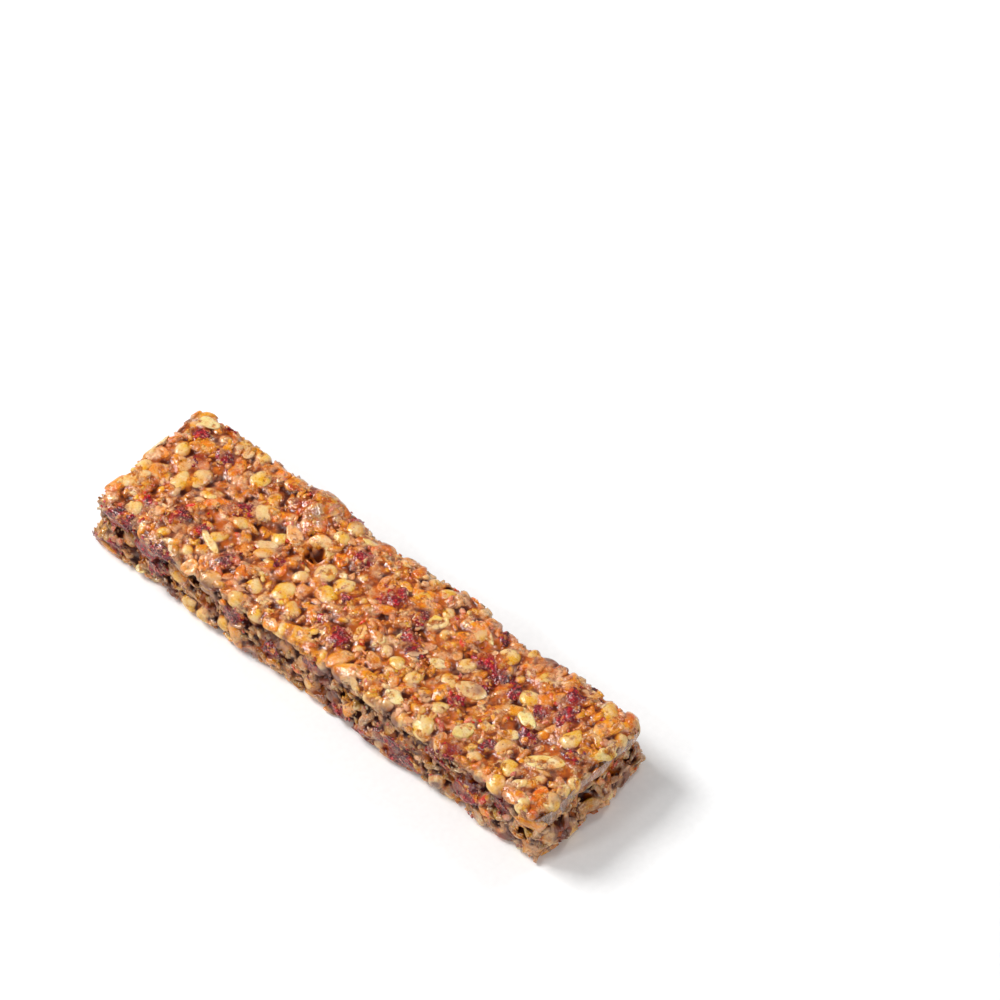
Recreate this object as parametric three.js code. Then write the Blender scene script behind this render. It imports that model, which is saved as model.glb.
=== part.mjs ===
// A pressed granola bar: crisped cereal balls, rolled oats, dried fruit and berries held together
// by set syrup. It is one solid, modelled out to its uneven grainy outline and flat underneath.
// Millimetres. X runs along the bar, +Z is up, and the origin is at the middle of the underside.
import * as THREE from "three";
import { mergeVertices } from "three/addons/utils/BufferGeometryUtils.js";

// Overall size, measured over the grains.
const LENGTH = 120;
const WIDTH = 35;
const HEIGHT = 15.8;

// The pressed block.
const TOP_EDGE_RADIUS = 3.2; // the syrup rounds the upper edges
const FOOT_EDGE_RADIUS = 1.2; // the slab leaves the lower edges crisper
const CORNER_RADIUS = 3.4; // upright edges, seen from above
const SIDE_SPLAY = 0.8; // each side leans out this far towards the slab
const UNDERCUT = 0.8; // the cut sides are hollow below the syruped top skin
const UNDERCUT_LEVEL = 0.56; // share of the height at which the hollow is deepest
const UNDERCUT_REACH = 0.3; // share of the height over which it fades away

// Slow unevenness of the hand-cut slab.
const SIDE_WAVE = 0.4;
const TOP_WAVE = 0.45;
const WAVE_LENGTH = 47;

// Grains pressed into the faces.
const GRAIN_PITCH = 6.4;
const GRAIN_RELIEF = 2.3; // on the cut sides
const TOP_GRAIN_RELIEF = 1.25; // the roller flattens the top
const GRAIN_SCATTER = 0.72; // how far a grain strays within its cell
const EDGE_CALM = 0.75; // share of the grain relief lost on the sharpest corners

// Single features: a crisped cluster standing out of the back edge with a hollow beside it, the
// upright furrow in the right end between its lobes, and shallow dips where grains fell out.
const LUMPS = [
  { at: [-22.5, 12.5, 14.4], reach: 7, height: 1.5 },
  { at: [15, 16, 12], reach: 12, height: 1.0 },
  { at: [57, -9, 6], reach: 6.5, height: 1.0 },
  { at: [58, 5, 4.5], reach: 6.5, height: 1.1 },
  { at: [-53, -15, 3.5], reach: 7, height: 0.9 },
];
const HOLLOWS = [
  { at: [-16.8, 3.4, 15.4], reach: 4.2, depth: 2.0 },
  { at: [-9, 17, 13], reach: 9, depth: 1.2 },
  { at: [59, -2.6, 5], reach: 4.6, depth: 1.8 },
  { at: [-37, -16.5, 7], reach: 5.5, depth: 1.3 },
  { at: [22, -16.5, 5.5], reach: 5, depth: 1.2 },
];

// Grid of the faces.
const GRID_PITCH = 1.85;

const clamp = THREE.MathUtils.clamp;
const smooth = (low, high, x) => THREE.MathUtils.smoothstep(x, low, high);

// A repeatable value from 0 to 1 for a cell of the grain lattice.
function cellValue(i, j, k, channel) {
  const s = Math.sin(i * 127.1 + j * 311.7 + k * 74.7 + channel * 53.3) * 43758.5453;
  return s - Math.floor(s);
}

// How high the nearest grain stands at a point: 1 on its crown, 0 in the crevices between grains.
function grainHeight(point) {
  const cell = point.clone().divideScalar(GRAIN_PITCH).floor();
  const grain = new THREE.Vector3();
  let nearest = Infinity;
  for (let i = -1; i <= 1; i++) {
    for (let j = -1; j <= 1; j++) {
      for (let k = -1; k <= 1; k++) {
        const [a, b, c] = [cell.x + i, cell.y + j, cell.z + k];
        const stray = (channel) => 0.5 + (cellValue(a, b, c, channel) - 0.5) * GRAIN_SCATTER;
        grain.set(a + stray(0), b + stray(1), c + stray(2)).multiplyScalar(GRAIN_PITCH);
        nearest = Math.min(nearest, grain.distanceTo(point));
      }
    }
  }
  return 1 - Math.min(1, (nearest / (0.78 * GRAIN_PITCH)) ** 2);
}

// The block's sides lean out towards the foot and are hollow under the top skin.
function sideSetback(z) {
  const level = z / HEIGHT;
  const hollow = 1 - smooth(0, UNDERCUT_REACH, Math.abs(level - UNDERCUT_LEVEL));
  return SIDE_SPLAY * level + UNDERCUT * hollow;
}

// Moves a point of the plain box onto the block, which narrows by its setback and has rounded
// edges, and gives its outward normal there.
function roundedBlock(point) {
  const halfLength = LENGTH / 2 - sideSetback(point.z);
  const halfWidth = WIDTH / 2 - sideSetback(point.z);
  const narrowed = new THREE.Vector3(
    (point.x * halfLength) / (LENGTH / 2),
    (point.y * halfWidth) / (WIDTH / 2),
    point.z,
  );
  const inner = new THREE.Vector3(
    clamp(narrowed.x, CORNER_RADIUS - halfLength, halfLength - CORNER_RADIUS),
    clamp(narrowed.y, CORNER_RADIUS - halfWidth, halfWidth - CORNER_RADIUS),
    clamp(narrowed.z, FOOT_EDGE_RADIUS, HEIGHT - TOP_EDGE_RADIUS),
  );
  const out = narrowed.clone().sub(inner);
  const upright = point.z > HEIGHT / 2 ? TOP_EDGE_RADIUS : FOOT_EDGE_RADIUS;
  const normal = new THREE.Vector3(out.x / CORNER_RADIUS, out.y / CORNER_RADIUS, out.z / upright);
  const onFace = Math.max(Math.abs(normal.x), Math.abs(normal.y), Math.abs(normal.z));
  out.multiplyScalar(onFace / Math.max(1e-9, normal.length()));
  return { at: inner.add(out), normal: normal.normalize() };
}

// 0 on a face and 1 where three faces meet.
function edginess(normal) {
  const most = Math.max(Math.abs(normal.x), Math.abs(normal.y), Math.abs(normal.z));
  return (1 - most) / (1 - Math.sqrt(1 / 3));
}

// Slow swell of the faces along the bar.
function swell(point, normal) {
  const turn = (2 * Math.PI * point.x) / WAVE_LENGTH;
  const side = Math.sign(normal.y) * 0.9;
  const sideways = Math.sin(turn + side) + 0.5 * Math.sin(2.3 * turn + 2 * side + point.z / 4);
  const upward = Math.sin(0.8 * turn + point.y / 9 + 1.1) + 0.4 * Math.cos(2.6 * turn - point.y / 5);
  const flat = Math.abs(normal.z);
  return SIDE_WAVE * sideways * (1 - flat) + TOP_WAVE * upward * Math.max(0, normal.z);
}

// Lumps stand out and hollows sink in, each fading over its reach.
function feature(point) {
  const fade = ({ at, reach }) => 1 - smooth(0, reach, point.distanceTo(new THREE.Vector3(...at)));
  const raised = LUMPS.reduce((sum, lump) => sum + lump.height * fade(lump), 0);
  const sunk = HOLLOWS.reduce((sum, hollow) => sum + hollow.depth * fade(hollow), 0);
  return raised - sunk;
}

// The bar: every grid point of a box is carried to the rounded block and moved by the relief.
function barGeometry() {
  const box = new THREE.BoxGeometry(
    LENGTH, WIDTH, HEIGHT,
    Math.round(LENGTH / GRID_PITCH), Math.round(WIDTH / GRID_PITCH), Math.round(HEIGHT / GRID_PITCH),
  );
  box.translate(0, 0, HEIGHT / 2);
  box.deleteAttribute("normal");
  box.deleteAttribute("uv");
  const geometry = mergeVertices(box, 1e-3);
  const position = geometry.getAttribute("position");
  const point = new THREE.Vector3();
  for (let n = 0; n < position.count; n++) {
    point.fromBufferAttribute(position, n);
    const { at, normal } = roundedBlock(point);
    const onSlab = point.z < 1e-6;
    const relief = THREE.MathUtils.lerp(GRAIN_RELIEF, TOP_GRAIN_RELIEF, Math.max(0, normal.z) ** 2);
    const push = relief * (grainHeight(at) - 1) * (1 - EDGE_CALM * edginess(normal))
      + swell(at, normal) + feature(at);
    const move = normal.clone().multiplyScalar(push);
    if (onSlab) move.z = 0;
    position.setXYZ(n, at.x + move.x, at.y + move.y, Math.max(0, at.z + move.z));
  }
  return fitted(geometry);
}

// Stands the geometry on z = 0, centres it on the origin and brings it to its overall size.
function fitted(geometry) {
  geometry.computeBoundingBox();
  const { min, max } = geometry.boundingBox;
  geometry.translate(-(min.x + max.x) / 2, -(min.y + max.y) / 2, -min.z);
  geometry.scale(LENGTH / (max.x - min.x), WIDTH / (max.y - min.y), HEIGHT / (max.z - min.z));
  geometry.computeVertexNormals();
  return geometry;
}

const granola = new THREE.MeshStandardMaterial({ color: 0xc98f5a, roughness: 0.45, metalness: 0 });
const bar = new THREE.Mesh(barGeometry(), granola);
bar.name = "granola_bar";

const part = new THREE.Group();
part.add(bar);
export default part;
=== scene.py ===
"""A chewy granola bar: puffed grain, rolled oats and dried fruit bound with syrup, rolled flat and cut."""
import math

import bmesh
import bpy
import numpy as np
from mathutils import Matrix, Vector, noise
from mathutils.bvhtree import BVHTree
from mathutils.kdtree import KDTree


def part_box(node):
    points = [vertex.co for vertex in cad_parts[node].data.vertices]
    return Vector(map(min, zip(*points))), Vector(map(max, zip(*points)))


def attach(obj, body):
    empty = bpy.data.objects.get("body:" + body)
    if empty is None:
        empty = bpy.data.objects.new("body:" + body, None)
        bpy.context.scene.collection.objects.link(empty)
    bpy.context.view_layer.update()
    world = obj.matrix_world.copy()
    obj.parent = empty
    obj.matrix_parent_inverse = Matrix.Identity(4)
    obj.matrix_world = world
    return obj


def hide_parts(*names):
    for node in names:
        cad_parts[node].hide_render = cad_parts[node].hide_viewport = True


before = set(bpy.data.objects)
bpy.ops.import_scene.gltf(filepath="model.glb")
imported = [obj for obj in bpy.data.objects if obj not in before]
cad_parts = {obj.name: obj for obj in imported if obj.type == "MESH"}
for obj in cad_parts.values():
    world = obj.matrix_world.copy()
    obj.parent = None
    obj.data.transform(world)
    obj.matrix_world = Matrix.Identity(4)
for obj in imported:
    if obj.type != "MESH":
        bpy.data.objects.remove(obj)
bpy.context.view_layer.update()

# The slab. The warm mix is rolled flat and then cut into bars, so what lies outermost is pressed
# against one wavy face. The slab's skin is that face, and every grain below is settled on it.
MM = 0.001
WELD = 0.002 * MM
SKIN_SPOTS = 30000
LYING = 0.6
WELL_CLEAR = 5 * MM
bar_low, bar_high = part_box("granola_bar")
bar_middle = (bar_low + bar_high) / 2
bar_half = (bar_high - bar_low) / 2


def soften(form, turns, factor=0.5):
    """Rounds a form off, as the roller does; more turns take out broader bumps."""
    every_way = {"use_axis_x": True, "use_axis_y": True, "use_axis_z": True}
    for _ in range(turns):
        bmesh.ops.smooth_vert(form, verts=form.verts, factor=factor, **every_way)
    form.normal_update()


slab = bmesh.new()
slab.from_mesh(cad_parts["granola_bar"].data)
bmesh.ops.remove_doubles(slab, verts=slab.verts, dist=WELD)
soften(slab, 3)
bmesh.ops.triangulate(slab, faces=slab.faces)
skin = BVHTree.FromBMesh(slab)

chance = np.random.default_rng(41)
corners = np.array([[vert.co[:] for vert in face.verts] for face in slab.faces])
face_area = np.array([face.calc_area() for face in slab.faces])
face_normal = np.array([face.normal[:] for face in slab.faces])
picked = chance.choice(len(face_area), SKIN_SPOTS, p=face_area / face_area.sum())
share = chance.dirichlet((1, 1, 1), SKIN_SPOTS)
spot_point = (corners[picked] * share[:, :, None]).sum(1)
spot_normal = face_normal[picked]
spot_side = np.where(spot_normal[:, 2] > LYING, 0, np.where(spot_normal[:, 2] < -LYING, 2, 1))
spot_area = face_area.sum() / SKIN_SPOTS
filled_point = []
filled_reach = []


def find_room(per_cm2, reach, crowding):
    """Free places for pieces of this reach; per_cm2 holds the top's, the cut sides' and the underside's."""
    square_cm = [(spot_side == side).sum() * spot_area * 1e4 for side in range(3)]
    wanted = [count * area for count, area in zip(per_cm2, square_cm)]
    found = []
    for i in chance.permutation(SKIN_SPOTS):
        side = spot_side[i]
        if wanted[side] < 0.5:
            continue
        own = chance.uniform(*reach)
        if filled_point:
            gap = np.linalg.norm(np.array(filled_point) - spot_point[i], axis=1)
            if (gap < crowding * (np.array(filled_reach) + own)).any():
                continue
        wanted[side] -= 1
        fill(spot_point[i], own)
        found.append((spot_point[i], spot_normal[i], own))
        if max(wanted) < 0.5:
            break
    return found


def fill(point, reach):
    """Notes that a piece lies here, so that the next ones keep clear of it."""
    filled_point.append(np.array(point))
    filled_reach.append(reach)


def spot_on_top(along, across):
    """The place on the rolled top at these shares of the bar's half length and half width."""
    over = (bar_middle.x + along * bar_half.x, bar_middle.y + across * bar_half.y)
    start = Vector((*over, bar_high.z + WELL_CLEAR))
    place, normal, _, _ = skin.ray_cast(start, Vector((0, 0, -1)))
    return np.array(place), np.array(normal)


def spot_on_front(along, up):
    """The place on the front cut side at this share of the half length and this share of the height."""
    height = bar_low.z + up * 2 * bar_half.z
    start = Vector((bar_middle.x + along * bar_half.x, bar_low.y - WELL_CLEAR, height))
    place, normal, _, _ = skin.ray_cast(start, Vector((0, 1, 0)))
    return np.array(place), np.array(normal)


# Shares of the half length and half width: the crisped cluster, the pit and the grain beside it.
CLUSTER = (-0.38, 0.64)
PIT = (-0.28, 0.18)
WHOLE_GRAIN = (-0.30, 0.34)
# The cut sides: the crust's share of the height, the hollow under it, and the ragged layers, in mm.
CRUST_FROM = 0.74
CRUST_BAND = 0.10
HOLLOW_AT = 0.62
HOLLOW_BAND = 0.12
CUT_BACK = 0.25
LAYER_DEPTH = 0.7
# The top and the end, in mm: the pit, the grain's swelling, the cluster's knobs and the end's furrow.
PIT_DEPTH = 3.0
PIT_REACH = 1.4
GRAIN_SWELL = 0.5
GRAIN_REACH = 2.2
KNOB_SIZE = 2.4
KNOB_DEPTH = 2.0
KNOBS_PROUD = 1.2
CLUSTER_REACH = 3.6
FURROW_DEPTH = 1.3
FURROW_AT = 0.50
FURROW_BAND = 0.13


def push_in(points, normals):
    """How far cutting and handling have pushed each point in, in mm; below 0 where the mix stands proud."""
    up = normals[:, 2]
    top = up ** 2 * (up > 0)
    cut = 1 - up ** 2
    along, across, _ = ((points - np.array(bar_middle)) / np.array(bar_half)).T
    share_up = (points[:, 2] - bar_low.z) / (2 * bar_half.z)
    x, y, z = points.T / MM
    strata = np.array([noise.noise(Vector(part)) for part in np.array((x / 9, y / 9, z / 1.9)).T])
    wander = np.array([noise.noise(Vector(part)) for part in np.array((x / 11, y / 11, z / 30)).T])
    crust = np.clip((share_up - CRUST_FROM) / CRUST_BAND, 0, 1)
    under_crust = np.exp(-((share_up - HOLLOW_AT) / HOLLOW_BAND) ** 2) * np.abs(normals[:, 1])
    push = cut * (1 - crust) * (CUT_BACK * np.abs(normals[:, 1]) + LAYER_DEPTH * strata)
    push += cut * (1 - crust) * under_crust * np.clip(0.7 + 1.6 * wander, 0, 1.8)
    pit, cluster, nub = (
        ((along - place[0]) * bar_half.x / MM) ** 2 + ((across - place[1]) * bar_half.y / MM) ** 2
        for place in (PIT, CLUSTER, WHOLE_GRAIN)
    )
    push += top * (PIT_DEPTH * np.exp(-pit / PIT_REACH ** 2) - GRAIN_SWELL * np.exp(-nub / GRAIN_REACH ** 2))
    knobs = np.array([noise.voronoi(Vector(part))[0][0] for part in np.array((x, y, z)).T / KNOB_SIZE])
    push += top * (KNOB_DEPTH * knobs - KNOBS_PROUD) * np.exp(-cluster / CLUSTER_REACH ** 2)
    end = np.clip((along - 0.93) / 0.05, 0, 1) * cut
    furrow = FURROW_DEPTH * np.exp(-((share_up - FURROW_AT) / FURROW_BAND) ** 2)
    push += end * furrow * np.clip(0.8 + 1.2 * across, 0.15, 1.4)
    return push


# Dried berry pieces. Freeze-dried raspberry-like fruit falls apart into lumps and loose juice cells,
# crimson outside and dark purple where syrup has soaked in. Stirred in, they are rolled flat and smear.
BERRY_REACH = (1.0 * MM, 2.1 * MM)
BERRY_PER_CM2 = (0.5, 0.3, 0.5)
BERRY_APART = 1.2
JUICE_CELL = 0.36
TOP_PROUD = 0.50 * MM
CUT_PROUD = 0.8 * MM
BERRY_TONES = ((176, 20, 48), (150, 18, 44), (118, 16, 44), (90, 16, 44), (192, 28, 56), (124, 18, 58))
LOOSE_TONES = ((186, 28, 52), (160, 24, 52), (214, 60, 70), (120, 22, 50), (226, 116, 116), (236, 160, 156))


def srgb(red, green, blue):
    """A colour as mixed on a screen, turned into the linear values that a shader takes."""
    steps = np.array((red, green, blue), float) / 255
    return np.where(steps <= 0.04045, steps / 12.92, ((steps + 0.055) / 1.055) ** 2.4)


def finished_shape(form):
    """The points and the faces of a finished form, ready to be copied."""
    form.verts.index_update()
    points = np.array([vert.co[:] for vert in form.verts])
    faces = [[vert.index for vert in face.verts] for face in form.faces]
    form.free()
    return points, faces


def laid_on(normal, spin, tilt=(0.0, 0.0)):
    """The turn of a piece whose flat side lies along a face with this normal, spun and tilted a little."""
    turn = Vector((0, 0, 1)).rotation_difference(Vector(normal)).to_matrix() @ Matrix.Rotation(spin, 3, "Z")
    turn = turn @ Matrix.Rotation(tilt[0], 3, "X") @ Matrix.Rotation(tilt[1], 3, "Y")
    return np.array(turn)


def depth_under_skin(points):
    """How deep each point lies under the slab's skin, and the skin's normal there."""
    near = [skin.find_nearest(Vector(point)) for point in points]
    normals = np.array([hit[1][:] for hit in near])
    places = np.array([hit[0][:] for hit in near])
    return ((places - points) * normals).sum(1), normals


def rolled(points):
    """The roller pushes back what sticks out, and the cut pushes in the sides: new points, depth and cut."""
    depth, normals = depth_under_skin(points)
    cut = 1 - normals[:, 2] ** 2
    room = TOP_PROUD * (1 - cut) + CUT_PROUD * cut
    out = np.maximum(-depth, 0)
    kept = room * (1 - np.exp(-out / room))
    push = push_in(points, normals) * MM
    points = points + normals * (kept - out - push)[:, None]
    # The depth also counts the push-in, so pieces in the cut hollows take the painted shade that the finishes
    # draw from depth.
    depth = np.where(depth < 0, -kept, depth) + np.maximum(push, 0) * 0.8
    return inside_bar(points), depth, cut


def inside_bar(points):
    """Nothing reaches out of the bar's own box, and the underside is flat from the tray."""
    return np.clip(points, np.array(bar_low) + 0.02 * MM, np.array(bar_high) - 0.02 * MM)


def tone_of(tones, spread=0.07):
    """One piece's own colour: mostly one of its kind's tones, a little lighter or darker."""
    first, second = chance.integers(len(tones), size=2)
    share = chance.random() ** 0.4
    mixed = srgb(*tones[first]) * share + srgb(*tones[second]) * (1 - share)
    return mixed * chance.uniform(1 - 2 * spread, 1 + 2 * spread) * chance.uniform(1 - spread, 1 + spread, 3)


def any_of(shapes):
    """The number of one of these shapes, drawn by chance."""
    return int(chance.integers(len(shapes)))


stain_centres = []
AT_ONCE = 4000


def juice_stain(points):
    """How strongly each point is coloured by the juice of the berries near it, from 0 to 1."""
    centres = np.array([centre for centre, _ in stain_centres])
    spread = np.array([reach for _, reach in stain_centres])
    stain = np.zeros(len(points))
    for start in range(0, len(points), AT_ONCE):
        part = points[start:start + AT_ONCE]
        gap = np.linalg.norm(part[:, None, :] - centres[None, :, :], axis=2) / spread
        stain[start:start + AT_ONCE] = np.exp(-gap * gap).max(1)
    return stain


def join_copies(name, shapes, copies, finish, slot, smoothing=0):
    """One mesh of many copies: each is (shape number, 3x3 turn and size, centre, tone)."""
    points = [shapes[number][0] @ turn.T + centre for number, turn, centre, _ in copies]
    starts = np.cumsum([0] + [len(part) for part in points])
    faces = []
    for start, (number, _, _, _) in zip(starts, copies):
        faces += [[start + corner for corner in face] for face in shapes[number][1]]
    tones = np.concatenate([np.tile(tone, (len(part), 1)) for part, (_, _, _, tone) in zip(points, copies)])
    pressed, depth, cut = rolled(np.concatenate(points))
    return finished_piece(name, pressed, faces, finish, slot, smoothing, tone=tones, sunk=depth / MM, cut=cut)


def finished_piece(name, points, faces, finish, slot, smoothing=0, **facts):
    """The mesh object with what its finish reads stored on its points, riding with the bar."""
    mesh = bpy.data.meshes.new(name)
    mesh.from_pydata(points, [], faces)
    mesh.shade_smooth()
    facts["stain"] = juice_stain(points)
    for fact, values in facts.items():
        if values.ndim == 2:
            stored = mesh.attributes.new(fact, "FLOAT_COLOR", "POINT")
            colours = np.hstack([np.clip(values, 0, 1), np.ones((len(points), 1))])
            stored.data.foreach_set("color", colours.ravel())
        else:
            stored = mesh.attributes.new(fact, "FLOAT", "POINT")
            stored.data.foreach_set("value", values)
    mesh.materials.append(finish)
    piece = bpy.data.objects.new(name, mesh)
    bpy.context.scene.collection.objects.link(piece)
    if smoothing:
        softened = piece.modifiers.new("softened", "SUBSURF")
        softened.levels = smoothing
        softened.render_levels = smoothing
    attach(piece, "root")
    return piece


def add(tree, kind, setting=None, **sockets):
    """A shader node with its settings, and its sockets either set or linked."""
    node = tree.nodes.new(kind)
    for name, value in (setting or {}).items():
        setattr(node, name, value)
    for name, value in sockets.items():
        socket = node.inputs[name.replace("_", " ")]
        if isinstance(value, bpy.types.NodeSocket):
            tree.links.new(value, socket)
        else:
            socket.default_value = value
    return node


def blend(tree, factor, under, over):
    """One colour laid over another."""
    node = tree.nodes.new("ShaderNodeMix")
    node.data_type = "RGBA"
    for index, value in ((0, factor), (6, under), (7, over)):
        if isinstance(value, bpy.types.NodeSocket):
            tree.links.new(value, node.inputs[index])
        elif index == 0:
            node.inputs[index].default_value = value
        else:
            node.inputs[index].default_value = (*value, 1)
    return node.outputs[2]


def remap(tree, value, low, high, to_low=0.0, to_high=1.0):
    """A value's range stretched to another range and cut off at its ends."""
    reach = {"From_Min": low, "From_Max": high, "To_Min": to_low, "To_Max": to_high}
    return add(tree, "ShaderNodeMapRange", Value=value, **reach).outputs["Result"]


def weigh(tree, way, first, second):
    """Two values multiplied, or the second taken from the first."""
    node = tree.nodes.new("ShaderNodeMath")
    node.operation = way
    for index, value in enumerate((first, second)):
        if isinstance(value, bpy.types.NodeSocket):
            tree.links.new(value, node.inputs[index])
        else:
            node.inputs[index].default_value = value
    return node.outputs[0]


def tint(tree, colour, value, low, high, most, tone):
    """A tone laid over the colour, from none where a value is low to at most this much where it is high."""
    return blend(tree, remap(tree, value, low, high, 0.0, most), colour, srgb(*tone))


def start_finish(name):
    """A new finish, with its place on the piece and the piece's own stored tone."""
    material = bpy.data.materials.new(name)
    material.use_nodes = True
    tree = material.node_tree
    tree.nodes.clear()
    place = add(tree, "ShaderNodeTexCoord").outputs["Object"]
    tone = add(tree, "ShaderNodeAttribute", {"attribute_name": "tone"}).outputs["Color"]
    return material, tree, place, tone


def stored(tree, fact):
    """A fact stored on the piece's points: sunk, rise, cut, stain or close."""
    return add(tree, "ShaderNodeAttribute", {"attribute_name": fact}).outputs["Fac"]


def speckle(tree, place, per_mm, detail=2.0, roughness=0.5):
    """Fine even noise with this many features to the millimetre."""
    kind = {"Scale": per_mm / MM, "Detail": detail, "Roughness": roughness}
    return add(tree, "ShaderNodeTexNoise", Vector=place, **kind).outputs["Fac"]


# How much the syrup deepens a colour, from patch to patch, and how the set syrup itself shines.
SOAKED = (0.82, 1.38)
LIFT = 1.05
SYRUP_COAT = {
    "Coat Roughness": 0.07,
    "Coat IOR": 1.6,
    "Coat Tint": (1.0, 0.82, 0.56, 1.0),
    "Specular IOR Level": 0.08,
}


def end_finish(tree, place, colour, bump, bump_depth, wet=0.0, **sockets):
    """The food's own surface: colour, relief, the wet film of syrup over it and the shader's fixed values."""
    relief = add(tree, "ShaderNodeBump", Height=bump, Distance=bump_depth, Strength=1.0).outputs["Normal"]
    if wet:
        soaked = remap(tree, speckle(tree, place, 0.45, 3.0), 0.38, 0.62, *SOAKED)
        deepened = add(tree, "ShaderNodeHueSaturation", Color=colour, Saturation=soaked, Value=LIFT)
        colour = deepened.outputs["Color"]
    shader = add(tree, "ShaderNodeBsdfPrincipled", Base_Color=colour, Normal=relief, **sockets)
    if wet:
        ripple = speckle(tree, place, 1.9, 2.0)
        wavy = add(tree, "ShaderNodeBump", Height=ripple, Distance=0.15 * MM, Strength=1.0)
        tree.links.new(wavy.outputs["Normal"], shader.inputs["Coat Normal"])
        open_to_light = remap(tree, stored(tree, "rise"), -0.26, -0.08, 0.1 * wet, wet)
        tree.links.new(open_to_light, shader.inputs["Coat Weight"])
        for socket, value in SYRUP_COAT.items():
            shader.inputs[socket].default_value = value
    output = add(tree, "ShaderNodeOutputMaterial")
    tree.links.new(shader.outputs["BSDF"], output.inputs["Surface"])


def glow(weight, depth, green, blue):
    """Light that goes in and comes out near by: how much, how deep in mm, and its green and blue share."""
    colours = (1.0, green, blue)
    return {"Subsurface_Weight": weight, "Subsurface_Scale": depth * MM, "Subsurface_Radius": colours}


MASH_TONES = ((212, 142, 76), (228, 164, 96), (176, 90, 40), (242, 192, 124), (210, 124, 44), (196, 120, 70),
              (252, 218, 164), (226, 140, 50), (232, 166, 108), (150, 66, 30))


def grains_of(tree, place, per_mm, tones):
    """Small packed grains, each of one tone: the colour, and how far a spot lies from its grain's middle."""
    grains = add(tree, "ShaderNodeTexVoronoi", Vector=place, Scale=per_mm / MM)
    chosen = add(tree, "ShaderNodeSeparateColor", Color=grains.outputs["Color"]).outputs["Red"]
    ramp = add(tree, "ShaderNodeValToRGB", Fac=chosen)
    ramp.color_ramp.interpolation = "CONSTANT"
    for number, tone in enumerate(tones):
        stops = ramp.color_ramp.elements
        stop = stops[0] if number == 0 else stops[1] if number == 1 else stops.new(number / len(tones))
        stop.position = number / len(tones)
        stop.color = (*srgb(*tone), 1)
    return ramp.outputs["Color"], grains.outputs["Distance"]


def mash(tree, place):
    """Crushed flake and crumb under clear syrup, in small uneven grains: colour, height and fine grain."""
    swirl = add(tree, "ShaderNodeTexNoise", Vector=place, Scale=1.3 / MM, Detail=1.0).outputs["Color"]
    shift = add(tree, "ShaderNodeVectorMath", {"operation": "SCALE"}, Vector=swirl, Scale=1.1 * MM).outputs[0]
    shifted = tree.nodes.new("ShaderNodeVectorMath")
    tree.links.new(place, shifted.inputs[0])
    tree.links.new(shift, shifted.inputs[1])
    colour, from_middle = grains_of(tree, shifted.outputs[0], 1.15, MASH_TONES)
    fine = speckle(tree, place, 2.6, 4.0, 0.75)
    # Pale specks on the raised fine grain: partly pale crumb, partly painted highlight.
    colour = tint(tree, colour, fine, 0.50, 0.63, 0.80, (255, 226, 188))
    # Darker where the fine grain dips: painted shade.
    colour = tint(tree, colour, fine, 0.47, 0.34, 0.65, (128, 50, 20))
    # Dark rims in the creases where grains meet: painted shade.
    colour = tint(tree, colour, from_middle, 0.5, 0.85, 0.75, (116, 42, 18))
    height = weigh(tree, "SUBTRACT", weigh(tree, "MULTIPLY", fine, 1.1), from_middle)
    return colour, height, fine


# Painted shade for creases: amber on the top, partly pooled syrup; brown on the cut sides; the darkest for
# the deepest creases.
CREASE_SYRUP_AND_SHADE = (166, 70, 14)
CUT_CREASE_SHADE = (92, 42, 26)
DEEP_CREASE_SHADE = (64, 14, 5)
# Patches on the cut sides: where each begins and is full in the broad noise, its strength and its tone.
CUT_PATCHES = (
    (0.45, 0.54, 0.45, (192, 174, 160)),
    (0.46, 0.38, 0.40, (156, 128, 54)),
    (0.56, 0.62, 0.78, (92, 34, 54)),
)


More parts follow.
